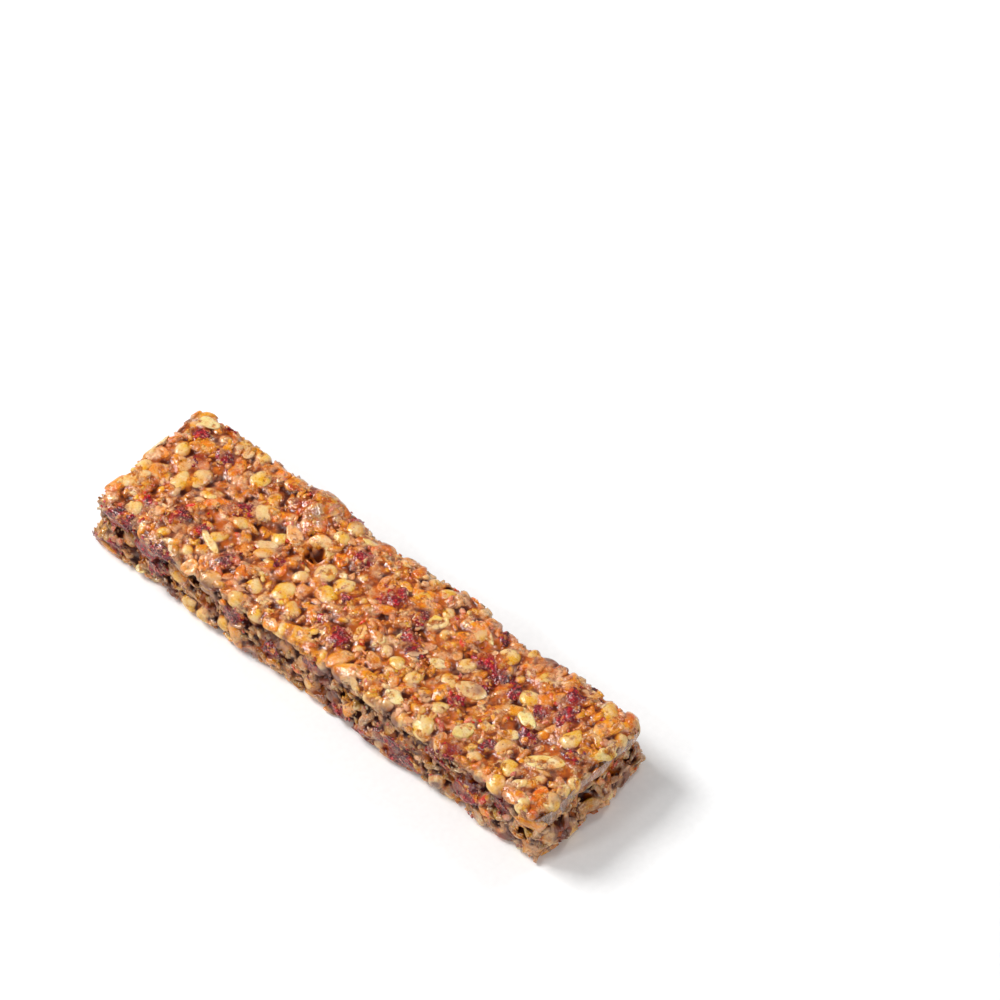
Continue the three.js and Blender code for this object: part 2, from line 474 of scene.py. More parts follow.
def settled(tree, place, colour, cover, grain_specks_and_painted_light=1.0):
    """What lying in the bar does to a piece: its fine grain gets pale specks and amber dips, partly painted
    highlight and shade, mash runs over it in patches, its creases are amber from pooled syrup and darkened
    with painted shade, deep-lying points get more painted shade, berry juice stains it, and a cut side is
    greyer and browner than the rolled top."""
    mash_colour, mash_height, fine = mash(tree, place)
    patch = speckle(tree, place, 0.42, 2.0, 0.6)
    over = weigh(tree, "MULTIPLY", remap(tree, patch, 0.62 - cover, 0.70 - cover), 0.8)
    # The piece's fine grain: pale on its raised bumps and amber in its dips, partly the grain's own specks
    # and partly painted highlight and shade following the fine relief.
    colour = tint(tree, colour, fine, 0.51, 0.64, 0.66 * grain_specks_and_painted_light, (255, 236, 206))
    colour = tint(tree, colour, fine, 0.48, 0.34, 0.6 * grain_specks_and_painted_light, (196, 112, 36))
    colour = blend(tree, over, colour, mash_colour)
    height = blend(tree, over, fine, mash_height)
    cut = stored(tree, "cut")
    rise = stored(tree, "rise")
    broad = speckle(tree, place, 0.16, 2.0)
    colour = tint(tree, colour, broad, 0.50, 0.60, 0.38, (224, 164, 134))
    for low, high, most, tone in CUT_PATCHES:
        patch = weigh(tree, "MULTIPLY", cut, remap(tree, broad, low, high, 0.0, most))
        colour = blend(tree, patch, colour, srgb(*tone))
    crease = blend(tree, cut, srgb(*CREASE_SYRUP_AND_SHADE), srgb(*CUT_CREASE_SHADE))
    # Creases round the piece: amber from pooled syrup and painted shade on the top, brown painted shade on
    # the cut sides.
    colour = blend(tree, remap(tree, rise, 0.11, -0.10, 0.0, 0.80), colour, crease)
    # Painted shade, darkest where the point lies deepest below the smoothed surface.
    colour = tint(tree, colour, rise, -0.03, -0.21, 0.92, DEEP_CREASE_SHADE)
    # Painted shade where the point lies deep under the slab's skin.
    colour = tint(tree, colour, stored(tree, "sunk"), 1.0, 2.4, 0.85, (54, 20, 14))
    colour = tint(tree, colour, stored(tree, "stain"), 0.25, 0.8, 0.85, (132, 22, 40))
    return colour, height


def berry_shape(seed):
    """A squashed lump of juice cells."""
    form = bmesh.new()
    bmesh.ops.create_icosphere(form, subdivisions=4, radius=1)
    around = Vector((seed * 7.3, seed * 3.1, seed * 1.7))
    for vert in form.verts:
        nearest = noise.voronoi(vert.co / JUICE_CELL + around)[0][0]
        cell = math.sqrt(max(0.0, 1 - min(1.0, nearest / 0.75) ** 2))
        lump = noise.noise(vert.co * 1.1 + around) * 0.6
        vert.co *= 0.80 + lump + 0.30 * cell
    bmesh.ops.scale(form, vec=(1.2, 0.85, 0.5), verts=form.verts)
    return finished_shape(form)


def lumpy_ball(rounds, seed, apart, squash, *waves, size=1.0):
    """A ball swollen by waves, each given as how strong and how fine, and then squashed."""
    form = bmesh.new()
    bmesh.ops.create_icosphere(form, subdivisions=rounds, radius=1)
    around = Vector([seed * part for part in apart])
    for vert in form.verts:
        swell = size
        for strength, fine in waves:
            swell += strength * noise.noise(vert.co * fine + around)
        vert.co *= swell
    bmesh.ops.scale(form, vec=squash, verts=form.verts)
    return finished_shape(form)


def berry_finish():
    material, tree, place, tone = start_finish("berry flesh")
    patch = speckle(tree, place, 0.9)
    cells = add(tree, "ShaderNodeTexVoronoi", Vector=place, Scale=1.25 / MM).outputs["Distance"]
    grain = speckle(tree, place, 3.2, 2.0)
    colour = tint(tree, tone, patch, 0.48, 0.66, 0.6, (196, 26, 48))
    colour = tint(tree, colour, patch, 0.48, 0.38, 0.8, (72, 10, 30))
    # Pink specks on the raised grain of the cells: painted highlight.
    colour = tint(tree, colour, grain, 0.54, 0.64, 0.75, (240, 158, 158))
    # Dark lines in the creases where the juice cells meet: painted shade.
    colour = tint(tree, colour, cells, 0.36, 0.76, 0.65, (58, 4, 14))
    # Dark where the berry lies below the smoothed surface: painted shade in the creases.
    colour = tint(tree, colour, stored(tree, "rise"), 0.06, -0.16, 0.8, (62, 8, 12))
    smear = weigh(tree, "MULTIPLY", remap(tree, speckle(tree, place, 0.5, 2.0, 0.6), 0.54, 0.62), 0.75)
    colour = blend(tree, smear, colour, mash(tree, place)[0])
    # Darker the deeper under the skin: painted shade.
    colour = tint(tree, colour, stored(tree, "sunk"), 0.9, 2.4, 0.8, (56, 12, 26))
    height = weigh(tree, "SUBTRACT", weigh(tree, "MULTIPLY", grain, 0.4), cells)
    lit = glow(0.25, 0.4, 0.25, 0.3)
    end_finish(tree, place, colour, height, 0.45 * MM, wet=0.8, Roughness=0.34, **lit)
    return material


# Where the large berry pieces lie on the top: share of the half length, share of the half width,
# reach in mm, and the turn of the long side in degrees.
LARGE_BERRIES = (
    (0.04, 0.30, 2.8, -40), (-0.58, 0.09, 2.0, 20), (0.01, -0.49, 1.9, 70), (0.15, 0.30, 1.5, 70),
    (0.42, 0.34, 2.2, 10), (0.50, 0.30, 2.3, -25), (0.56, 0.25, 1.9, -30), (0.74, 0.56, 2.8, -60),
    (0.76, 0.36, 2.4, -70), (0.69, 0.23, 1.8, 15), (0.57, -0.83, 1.6, 0), (-0.76, 0.50, 2.0, 5),
    (0.64, -0.50, 1.6, 40), (-0.45, 0.81, 1.2, 10), (-0.88, 0.56, 1.4, 30),
)
# The same on the front cut side: share of the half length, share of the height, reach and turn.
SIDE_BERRIES = (
    (-0.86, 0.80, 3.0, 30), (-0.74, 0.62, 3.0, 40), (-0.66, 0.74, 2.6, 0), (-0.70, 0.35, 1.8, 0),
    (0.10, 0.15, 1.8, 0), (0.22, 0.10, 2.4, 20), (0.33, 0.30, 2.8, -10), (0.40, 0.16, 2.4, 10),
    (0.52, 0.62, 2.2, 0), (-0.36, 0.55, 2.0, 0), (-0.20, 0.35, 1.6, 0), (0.66, 0.42, 2.4, 0),
    (0.80, 0.60, 1.8, 0),
)

berry_shapes = [berry_shape(seed) for seed in range(1, 6)]
cell_shapes = [lumpy_ball(1, seed, (3.7, 0, 0), (1.25, 0.9, 0.8), (0.3, 1.0)) for seed in range(1, 4)]
berry_copies = []


def add_berry(point, normal, reach, spin, sink, tone):
    """A lump and the loose cells that have come off it and lie round it."""
    turn = laid_on(normal, spin, chance.uniform(-0.2, 0.2, 2))
    centre = point - normal * sink
    stain_centres.append((centre, reach * chance.uniform(0.8, 1.05)))
    berry_copies.append((any_of(berry_shapes), turn * reach, centre, tone))
    for _ in range(int(6 + 5 * (reach / MM) ** 1.5)):
        away = turn @ np.array((*chance.normal(0, 0.62, 2), 0)) * reach
        size = chance.uniform(0.24, 0.46) * MM
        lying = laid_on(normal, chance.uniform(0, math.tau), chance.uniform(-0.6, 0.6, 2)) * size
        resting = point + away - normal * chance.uniform(0.1, 0.5) * MM
        number = len(berry_shapes) + any_of(cell_shapes)
        berry_copies.append((number, lying, resting, tone_of(LOOSE_TONES) * 0.5 + tone * 0.5))


for along, across, reach, degrees in LARGE_BERRIES:
    point, normal = spot_on_top(along, across)
    fill(point, reach * MM * 0.85)
    spin = math.radians(degrees)
    add_berry(point, normal, reach * 1.08 * MM, spin, reach * MM * 0.30, tone_of(BERRY_TONES[:4]))
for along, up, reach, degrees in SIDE_BERRIES:
    point, normal = spot_on_front(along, up)
    fill(point, reach * MM * 0.8)
    spin = math.radians(degrees)
    add_berry(point, normal, reach * 1.15 * MM, spin, reach * MM * 0.15, tone_of(BERRY_TONES[2:4]))
for point, normal, reach in find_room(BERRY_PER_CM2, BERRY_REACH, BERRY_APART):
    add_berry(point, normal, reach, chance.uniform(0, math.tau), reach * 0.3, tone_of(BERRY_TONES))
join_copies("berry_pieces", berry_shapes + cell_shapes, berry_copies, berry_finish(), "berry")

# Puffed grain. Each ball is dough puffed in hot air: a pale lemon skin with soft dimples and a
# sugary grain. The crowns are painted paler, partly where syrup has run off and partly as a painted
# highlight, and the low flanks are painted amber, partly syrup soaked in and partly painted shade.
PUFF_REACH = (2.2 * MM, 3.0 * MM)
PUFF_PER_CM2 = (2.3, 0.6, 2.0)
PUFF_APART = 0.80
PUFF_PROUD = 1.4 * MM
PUFF_TONES = ((255, 212, 128), (250, 196, 112), (244, 178, 92), (255, 230, 166), (244, 180, 104),
              (238, 164, 84), (248, 200, 138), (240, 180, 126))
TOP_PUFFS = ((-0.21, 0.06), (-0.12, 0.03), (-0.26, -0.43), (-0.14, -0.15), (-0.84, -0.76),
             (0.10, 0.50), (-0.36, 0.42), (-0.62, 0.55), (-0.25, 0.75), (-0.76, 0.12))


def puff_finish():
    material, tree, place, tone = start_finish("puffed grain")
    patch = speckle(tree, place, 0.45)
    colour = tint(tree, tone, patch, 0.42, 0.62, 0.6, (238, 170, 72))
    # Paler crowns where the ball stands highest: partly syrup run off, partly painted highlight.
    colour = tint(tree, colour, stored(tree, "rise"), 0.04, 0.30, 0.75, (255, 230, 168))
    # Amber on the low flanks: partly syrup soaked in, partly painted shade.
    colour = tint(tree, colour, stored(tree, "sunk"), -0.10, 0.55, 0.85, (214, 118, 26))
    colour, height = settled(tree, place, colour, 0.075, 0.75)
    lit = glow(0.4, 0.5, 0.62, 0.25)
    end_finish(tree, place, colour, height, 0.46 * MM, wet=0.85, Roughness=0.45, **lit)
    return material


puff_shapes = [
    lumpy_ball(2, seed, (5.1, 2.3, 9.7), (1.10, 0.96, 0.86), (0.30, 1.1), (0.26, 2.8), size=1.03)
    for seed in range(1, 8)
]
puff_copies = []


def add_puff(point, normal, reach, sink):
    """A ball turned any way, sunk this far below the skin."""
    spin, lean, roll = chance.uniform(-math.pi, math.pi, 3)
    turn = laid_on(normal, spin) @ laid_on((0, 0, 1), 0.0, (lean, roll)) * reach
    number = any_of(puff_shapes)
    puff_copies.append((number, turn, point - normal * sink, tone_of(PUFF_TONES, 0.04)))


for along, across in TOP_PUFFS:
    point, normal = spot_on_top(along, across)
    reach = chance.uniform(2.7, 3.1) * MM
    fill(point, reach * 0.9)
    add_puff(point, normal, reach, reach - PUFF_PROUD)
for point, normal, reach in find_room(PUFF_PER_CM2, PUFF_REACH, PUFF_APART):
    add_puff(point, normal, reach, reach - chance.uniform(-0.1, 1.25) * MM)
join_copies("puffed_grain", puff_shapes, puff_copies, puff_finish(), "crisp", smoothing=1)

# Candied fruit. Diced apricot-like flesh, clear orange and sticky, cut in chips and shreds and stirred
# in with the grain. The same mix, crisped brown, makes the one cluster that stands proud.
FRUIT_REACH = (0.8 * MM, 2.3 * MM)
FRUIT_PER_CM2 = (1.6, 0.7, 1.4)
FRUIT_APART = 0.8
CLUSTER_LUMPS = 22
CLUSTER_CORE = 3.0 * MM
CORE_SINK = 1.4 * MM
CRISPED_TONES = ((208, 104, 34), (176, 82, 32), (226, 134, 54), (146, 60, 28), (190, 66, 38))
FRUIT_TONES = ((242, 142, 34), (234, 122, 22), (246, 170, 66), (220, 100, 22), (250, 184, 88))


def fruit_finish():
    material, tree, place, tone = start_finish("candied fruit")
    patch = speckle(tree, place, 0.7)
    colour = tint(tree, tone, patch, 0.45, 0.65, 0.7, (252, 194, 92))
    colour = tint(tree, colour, patch, 0.44, 0.3, 0.6, (204, 84, 20))
    colour, height = settled(tree, place, colour, 0.12, 0.8)
    lit = glow(0.4, 0.5, 0.45, 0.12)
    end_finish(tree, place, colour, height, 0.36 * MM, wet=0.95, Roughness=0.35, **lit)
    return material


fruit_shapes = [lumpy_ball(2, seed, (4.7, 8.9, 2.9), (1.15, 0.85, 0.5), (0.75, 1.3)) for seed in range(1, 8)]
fruit_copies = []


def add_fruit(point, normal, reach, spin, sink, stretch, tones=FRUIT_TONES):
    """A chip that lies along the face, stretched one way."""
    turn = laid_on(normal, spin, chance.uniform(-0.3, 0.3, 2)) @ np.diag((stretch, 1.0, 1.0)) * reach
    number = any_of(fruit_shapes)
    fruit_copies.append((number, turn, point - normal * sink, tone_of(tones)))


# Chips where they lie on the top: shares along and across, reach in mm, stretch, and turn in degrees.
for along, across, reach, stretch, degrees in (
    (0.10, 0.55, 1.7, 1.4, 30), (0.13, 0.49, 1.9, 1.7, 25), (0.12, -0.78, 2.3, 1.2, 40),
    (0.06, -0.72, 2.0, 1.3, 60), (0.17, -0.70, 1.8, 1.2, 10), (0.66, 0.33, 2.0, 1.1, 0),
    (0.62, 0.06, 1.6, 1.0, 45), (0.33, 0.62, 2.2, 1.2, 0), (0.30, 0.42, 1.8, 1.1, 20),
    (0.88, 0.50, 2.6, 1.2, 60), (0.90, -0.62, 2.2, 1.1, 80), (0.84, -0.80, 2.0, 1.2, 0),
    (-0.12, -0.78, 2.4, 1.2, 0), (-0.20, -0.86, 1.8, 1.0, 0), (-0.52, 0.75, 2.0, 1.2, 20),
    (-0.80, 0.24, 1.5, 1.2, 0), (-0.66, -0.06, 1.4, 1.6, 50), (-0.95, -0.55, 2.2, 1.2, 80),
):
    point, normal = spot_on_top(along, across)
    fill(point, reach * MM * 0.9)
    add_fruit(point, normal, reach * MM, math.radians(degrees), reach * MM * 0.12, stretch)
point, normal = spot_on_top(*CLUSTER)
add_fruit(point, normal, CLUSTER_CORE, 0.0, CORE_SINK, 1.0, CRISPED_TONES[:2])
for _ in range(CLUSTER_LUMPS):
    along = CLUSTER[0] + 0.05 * chance.normal()
    across = min(CLUSTER[1] + 0.15 * chance.normal(), 0.85)
    point, normal = spot_on_top(along, across)
    fill(point, 1.0 * MM)
    reach = chance.uniform(1.2, 2.0) * MM
    spin = chance.uniform(0, math.tau)
    add_fruit(point, normal, reach, spin, chance.uniform(-0.9, 0.1) * MM, 1.1, CRISPED_TONES)
for point, normal, reach in find_room(FRUIT_PER_CM2, FRUIT_REACH, FRUIT_APART):
    add_fruit(point, normal, reach, chance.uniform(0, math.tau), reach * 0.3, chance.uniform(0.9, 1.6))
join_copies("fruit_pieces", fruit_shapes, fruit_copies, fruit_finish(), "fruit", smoothing=1)

# Rolled oats. Each flake is a steamed grain run flat between rollers: an uneven oval with the
# crease of the grain down its middle. Some stay cream, most are soaked tan and pink by the syrup.
OAT_REACH = (1.8 * MM, 3.2 * MM)
OAT_PER_CM2 = (1.6, 2.0, 1.6)
OAT_APART = 0.6
CHIP_REACH = (1.1 * MM, 2.4 * MM)
CHIP_PER_CM2 = (3.0, 7.0, 3.0)
CHIP_APART = 0.45
CREAM_OATS = 0.14
CREAM_CHIPS = 0.10
LYING_ON_CUT = 0.3
GRAIN_HALF = 2.8 * MM
CREAM_TONES = ((255, 236, 188), (252, 224, 172), (255, 242, 206))
SOAKED_TONES = ((242, 196, 156), (236, 180, 142), (248, 214, 178), (228, 166, 124), (216, 148, 110),
                (228, 160, 92))
CUT_TONES = ((210, 176, 144), (184, 144, 114), (232, 208, 180), (146, 98, 74), (182, 152, 90),
             (166, 118, 114), (214, 200, 190))


def oat_shape(seed, broken=False):
    """A flake with a ragged rim, a crease along it and a slight curl; a broken one has lost a side."""
    form = bmesh.new()
    bmesh.ops.create_uvsphere(form, u_segments=14, v_segments=6, radius=1)
    around = Vector((seed * 3.3, seed * 6.1, seed * 8.2))
    for vert in form.verts:
        x, y, z = vert.co
        lobes = 0.30 * noise.noise(Vector((x, y, 0)) * 1.5 + around)
        rim = 1.0 + lobes + 0.22 * noise.noise(Vector((x, y, 5)) * 4 + around)
        crease = math.exp(-(y / 0.16) ** 2) * max(0.0, 1 - abs(x) ** 3)
        curl = 0.16 * x * x + 0.10 * y * y * math.copysign(1, seed % 2 - 0.5)
        lift = 0.16 * noise.noise(Vector((x, y, 3)) * 2.0 + around)
        vert.co = Vector((x * rim, y * rim * 0.70, z * 0.17 + curl * 0.6 + lift - crease * 0.09 * (z > -0.1)))
    if broken:
        for side in (1, 2):
            away = Vector((math.cos(seed * 2.1 * side), math.sin(seed * 2.1 * side), 0.15))
            whole = form.verts[:] + form.edges[:] + form.faces[:]
            lost = {"plane_co": away * 0.3, "plane_no": away, "clear_outer": True}
            cut = bmesh.ops.bisect_plane(form, geom=whole, **lost)
            rim_edges = [part for part in cut["geom_cut"] if isinstance(part, bmesh.types.BMEdge)]
            bmesh.ops.holes_fill(form, edges=rim_edges)
        bmesh.ops.triangulate(form, faces=[face for face in form.faces if len(face.verts) > 4])
        bmesh.ops.recalc_face_normals(form, faces=form.faces)
    return finished_shape(form)


def groat_shape():
    """An unrolled grain, plump and slightly bent."""
    form = bmesh.new()
    bmesh.ops.create_icosphere(form, subdivisions=2, radius=1)
    for vert in form.verts:
        x, y, z = vert.co
        vert.co = Vector((x, y * 0.50 - 0.22 * x * x, z * 0.42 - 0.10 * math.exp(-(y / 0.2) ** 2) * (z > 0)))
    return finished_shape(form)


def oat_finish():
    material, tree, place, tone = start_finish("rolled oat")
    patch = speckle(tree, place, 0.6)
    colour = tint(tree, tone, patch, 0.50, 0.7, 0.4, (222, 150, 96))
    colour, height = settled(tree, place, colour, 0.10, 0.9)
    lit = glow(0.3, 0.4, 0.55, 0.3)
    end_finish(tree, place, colour, height, 0.34 * MM, wet=0.85, Roughness=0.42, **lit)
    return material


oat_shapes = [oat_shape(seed) for seed in range(1, 8)]
chip_shapes = [oat_shape(seed, broken=True) for seed in range(11, 21)]
oat_copies = []
chip_copies = []


def add_oat(point, normal, reach, tone, lying=True, sink=0.0, chip=False, width=None, spin=None):
    """A flake or chip, lying along the face or cut through and seen by its edge."""
    if lying:
        facing = normal
        centre = point - normal * sink
        tilt = chance.uniform(-0.18, 0.18, 2)
    else:
        facing = np.array((*chance.uniform(-0.45, 0.45, 2), 1.0)) + normal * chance.uniform(-0.3, 0.5)
        centre = point - normal * reach * chance.uniform(0.3, 0.7)
        tilt = chance.uniform(-0.3, 0.3, 2)
    thick = chance.uniform(0.9, 1.5)
    turn = laid_on(facing, chance.uniform(0, math.tau) if spin is None else spin, tilt)
    turn = turn @ np.diag((1.0, width or chance.uniform(0.8, 1.05), thick)) * reach
    if chip:
        chip_copies.append((any_of(chip_shapes), turn, centre, tone))
    else:
        oat_copies.append((any_of(oat_shapes), turn, centre, tone))


# Cream flakes where they lie on the top: the same, with the width's share of the length for stretch.
for along, across, reach, width, degrees in (
    (0.46, -0.07, 3.2, 0.95, 15), (0.83, -0.27, 4.4, 0.60, 31), (0.55, -0.53, 2.6, 0.9, 80),
    (-0.92, -0.42, 3.6, 0.7, 60), (0.30, -0.72, 2.2, 0.9, 0), (0.67, 0.05, 3.4, 0.6, -20),
    (-0.42, -0.08, 2.2, 0.8, 40), (-0.90, 0.72, 2.4, 0.8, 10), (-0.56, -0.50, 3.2, 0.45, -20),
    (-0.97, 0.20, 2.4, 0.9, 70), (0.24, -0.10, 2.3, 0.5, 60),
):
    point, normal = spot_on_top(along, across)
    fill(point, reach * MM * 0.8)
    spin = math.radians(degrees)
    add_oat(point, normal, reach * MM, tone_of(CREAM_TONES), sink=-0.20 * MM, width=width, spin=spin)
for point, normal, reach in find_room(OAT_PER_CM2, OAT_REACH, OAT_APART):
    flat = abs(normal[2]) > LYING
    tones = CREAM_TONES if chance.random() < CREAM_OATS else SOAKED_TONES if flat else CUT_TONES
    tone = tone_of(tones)
    lying = flat or chance.random() < LYING_ON_CUT
    add_oat(point, normal, reach, tone, lying, chance.uniform(0.25, 0.7) * MM)
for point, normal, reach in find_room(CHIP_PER_CM2, CHIP_REACH, CHIP_APART):
    flat = abs(normal[2]) > LYING
    tones = CREAM_TONES if chance.random() < CREAM_CHIPS else SOAKED_TONES if flat else CUT_TONES
    add_oat(point, normal, reach, tone_of(tones), flat, chance.uniform(0.2, 0.6) * MM, chip=True)
point, normal = spot_on_top(*WHOLE_GRAIN)
lying_grain = laid_on(normal, math.radians(28)) * GRAIN_HALF
oat_copies.append((len(oat_shapes), lying_grain, point, srgb(250, 214, 168)))
flake_finish = oat_finish()
join_copies("rolled_oats", oat_shapes + [groat_shape()], oat_copies, flake_finish, "oat", smoothing=1)
join_copies("oat_chips", chip_shapes, chip_copies, flake_finish, "oat")

# Crumbs. Broken flake, bran, fruit dust and sugar grains fill every gap between the larger pieces, a
# millimetre or two across or less, golden in some parts of the bar and pinker in others.
CRUMB_COUNT = 14500
LARGE_PIECE = 1.3 * MM
BARE_PATCH = 4 * MM
GOLD_PATCH = 7 * MM
GOLD_CRUMBS = ((236, 176, 92), (230, 162, 80), (244, 198, 118), (218, 142, 66), (248, 214, 146),
               (208, 124, 50), (240, 186, 100), (192, 106, 48))
PINK_CRUMBS = ((230, 172, 140), (216, 152, 122), (242, 198, 166), (204, 134, 106), (188, 112, 86),
               (248, 216, 190), (226, 156, 104), (218, 132, 108), (170, 90, 66))
CUT_CRUMBS = ((190, 150, 118), (156, 112, 84), (218, 190, 162), (128, 68, 46), (156, 128, 68), (122, 66, 74),
              (236, 222, 204), (96, 42, 30), (200, 146, 90))
RED_CRUMBS = ((198, 38, 58), (218, 70, 78), (178, 28, 58), (234, 130, 130), (242, 180, 168))


def crumb_finish():
    material, tree, place, tone = start_finish("crumb")
    colour, height = settled(tree, place, tone, 0.08)
    lit = glow(0.3, 0.4, 0.55, 0.3)
    end_finish(tree, place, colour, height, 0.30 * MM, wet=0.95, Roughness=0.38, **lit)
    return material


def finder_of(places):
    """Looks up which of these places lie nearest to a point."""
    finder = KDTree(len(places))
    for index, place in enumerate(places):
        finder.insert(place, index)
    finder.balance()
    return finder


crumb_shapes = [lumpy_ball(1, seed, (6.7, 1.9, 4.1), (1.3, 0.95, 0.62), (0.7, 1.5)) for seed in range(1, 9)]
crumb_copies = []
crumb_spots = chance.choice(SKIN_SPOTS, CRUMB_COUNT, replace=False)
crumb_stain = juice_stain(spot_point[crumb_spots])
filled_places = finder_of(filled_point)
for spot, near_berry in zip(crumb_spots, crumb_stain):
    point = spot_point[spot]
    _, nearest, gap = filled_places.find(point)
    if gap < 0.75 * filled_reach[nearest] and filled_reach[nearest] > LARGE_PIECE and chance.random() < 0.9:
        continue
    normal = spot_normal[spot]
    flat = abs(normal[2]) > LYING
    if noise.noise(Vector(point) / BARE_PATCH) + chance.normal(0, 0.15) < -0.20 and flat:
        continue
    reach = (0.24 + 0.70 * chance.random() ** 2.2) * MM
    golden = noise.noise(Vector(point) / GOLD_PATCH) + chance.normal(0, 0.12) > 0.05
    red = chance.random() < 0.10 + 0.5 * near_berry
    tone = tone_of(RED_CRUMBS if red else CUT_CRUMBS if not flat else GOLD_CRUMBS if golden else PINK_CRUMBS)
    turn = laid_on(normal, chance.uniform(0, math.tau), chance.uniform(-0.5, 0.5, 2))
    turn = turn @ np.diag((chance.uniform(0.8, 1.8), 1.0, 1.0)) * reach
    sink = chance.uniform(0.0, 0.45 if flat else 1.3) * MM
    crumb_copies.append((any_of(crumb_shapes), turn, point - normal * sink, tone))
join_copies("crumbs", crumb_shapes, crumb_copies, crumb_finish(), "crumb")

# The syrup-bound body. Cooked syrup and fine crumb fill the slab and wet every grain. On the rolled
# top they stand almost level with the grains; on the cut sides they are torn back into dark hollows.
TOP_LEVEL = 0.38 * MM
CUT_LEVEL = 1.4 * MM
BODY_VOXEL = 0.43 * MM
GRAIN_OF_MASH = 1.15 * MM
GRAIN_HEIGHT = 0.25 * MM
POOL_WIDTH = 2.6 * MM
POOL_DEPTH = 0.32 * MM
SETTLING = 0.07 * MM
BROAD_TURNS = 15
TONE_BLUR = 0.7 * MM
GRAIN_PIECES = ("berry_pieces", "puffed_grain", "fruit_pieces", "rolled_oats", "oat_chips", "crumbs")


def body_mesh():
    """The slab drawn in to the syrup's level, melted into one skin with every grain."""
    core = slab.copy()
    bmesh.ops.subdivide_edges(core, edges=core.edges, cuts=1, use_grid_fill=True)
    bmesh.ops.triangulate(core, faces=core.faces)
    core.normal_update()
    for vert in core.verts:
        flat = vert.normal.z ** 2
        broad = noise.noise(vert.co / (5 * MM))
        small = noise.noise(vert.co / (1.8 * MM))
        inset = (TOP_LEVEL + (0.35 * broad + 0.40 * small) * MM) * flat
        inset += (CUT_LEVEL + (0.9 * broad + 0.9 * small) * MM) * (1 - flat)
        inset = max(inset, 0.05 * MM) + push_in(np.array([vert.co]), np.array([vert.normal]))[0] * MM
        vert.co -= vert.normal * inset
        vert.co.z = max(vert.co.z, bar_low.z + 0.1 * MM)
    melted = bpy.data.meshes.new("melted")
    core.to_mesh(melted)
    core.free()
    gathered = bmesh.new()
    gathered.from_mesh(melted)
    view = bpy.context.evaluated_depsgraph_get()
    for name in GRAIN_PIECES:
        shown = bpy.data.objects[name].evaluated_get(view)
        gathered.from_mesh(shown.to_mesh())
        shown.to_mesh_clear()
    gathered.to_mesh(melted)
    gathered.free()
    lump = bpy.data.objects.new("melted", melted)
    bpy.context.scene.collection.objects.link(lump)
    remesh = lump.modifiers.new("skin", "REMESH")
    remesh.mode = "VOXEL"
    remesh.voxel_size = BODY_VOXEL
    view = bpy.context.evaluated_depsgraph_get()
    skinned = bmesh.new()
    skinned.from_mesh(lump.evaluated_get(view).to_mesh())
    bpy.data.objects.remove(lump)
    bpy.data.meshes.remove(melted)
    return skinned


body = body_mesh()
soften(body, 1, 0.6)
for vert in body.verts:
    cell = noise.voronoi(vert.co / GRAIN_OF_MASH)[0][0]
    grainy = (0.42 - cell) * GRAIN_HEIGHT
    pool = noise.noise(vert.co / POOL_WIDTH) * POOL_DEPTH
    vert.co += vert.normal * (grainy + pool - SETTLING)
body.normal_update()
before = np.array([vert.co[:] for vert in body.verts])
outward = np.array([vert.normal[:] for vert in body.verts])
broad_body = body.copy()
soften(broad_body, BROAD_TURNS, 0.7)
after = np.array([vert.co[:] for vert in broad_body.verts])
broad_skin = BVHTree.FromBMesh(broad_body)
broad_body.free()
body_rise = ((before - after) * outward).sum(1) / MM
body_points, body_faces = finished_shape(body)
body_points = inside_bar(body_points)
body_depth, body_normals = depth_under_skin(body_points)


def tones_beside(points, blur):
    """The tone of the grains that lie close to each point, and how close they are, from 0 to 1."""
    grain_points = []
    grain_tones = []
    for name in GRAIN_PIECES[:-1]:
        mesh = bpy.data.objects[name].data
        places = np.empty(len(mesh.vertices) * 3)
        colours = np.empty(len(mesh.vertices) * 4)
        mesh.vertices.foreach_get("co", places)
        mesh.attributes["tone"].data.foreach_get("color", colours)
        grain_points.append(places.reshape(-1, 3))
        grain_tones.append(colours.reshape(-1, 4)[:, :3])
    grain_points = np.concatenate(grain_points)
    grain_tones = np.concatenate(grain_tones)
    finder = finder_of(grain_points)
    tones = np.empty((len(points), 3))
    close = np.empty(len(points))
    for row, point in enumerate(points):
        near = finder.find_n(point, 4)
        weights = np.array([math.exp(-((hit[2] / blur) ** 2)) + 1e-9 for hit in near])
        tones[row] = weights @ grain_tones[[hit[1] for hit in near]] / weights.sum()
        close[row] = weights.max()
    return tones, close


def syrup_finish():
    material, tree, place, tone = start_finish("syrup and crumb")
    close = remap(tree, stored(tree, "close"), 0.05, 0.7, 0.25, 0.90)
    colour = blend(tree, close, srgb(224, 162, 110), tone)
    colour, height = settled(tree, place, colour, 0.17, 1.0)
    pool = speckle(tree, place, 0.24, 2.0)
    low_lying = remap(tree, stored(tree, "rise"), 0.10, -0.05)
    standing = weigh(tree, "MULTIPLY", remap(tree, pool, 0.54, 0.62), low_lying)
    colour = blend(tree, weigh(tree, "MULTIPLY", standing, 0.6), colour, srgb(188, 104, 50))
    height = weigh(tree, "MULTIPLY", height, remap(tree, standing, 0.0, 1.0, 1.0, 0.25))
    lit = glow(0.35, 0.4, 0.5, 0.22)
    end_finish(tree, place, colour, height, 0.36 * MM, wet=1.0, Roughness=0.38, **lit)
    return material


body_tones, body_close = tones_beside(body_points, TONE_BLUR)
body_piece = finished_piece("syrup_body", body_points, body_faces, syrup_finish(), "granola", tone=body_tones,
                            close=body_close, sunk=body_depth / MM, rise=body_rise,
                            cut=1 - body_normals[:, 2] ** 2)
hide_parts("granola_bar")


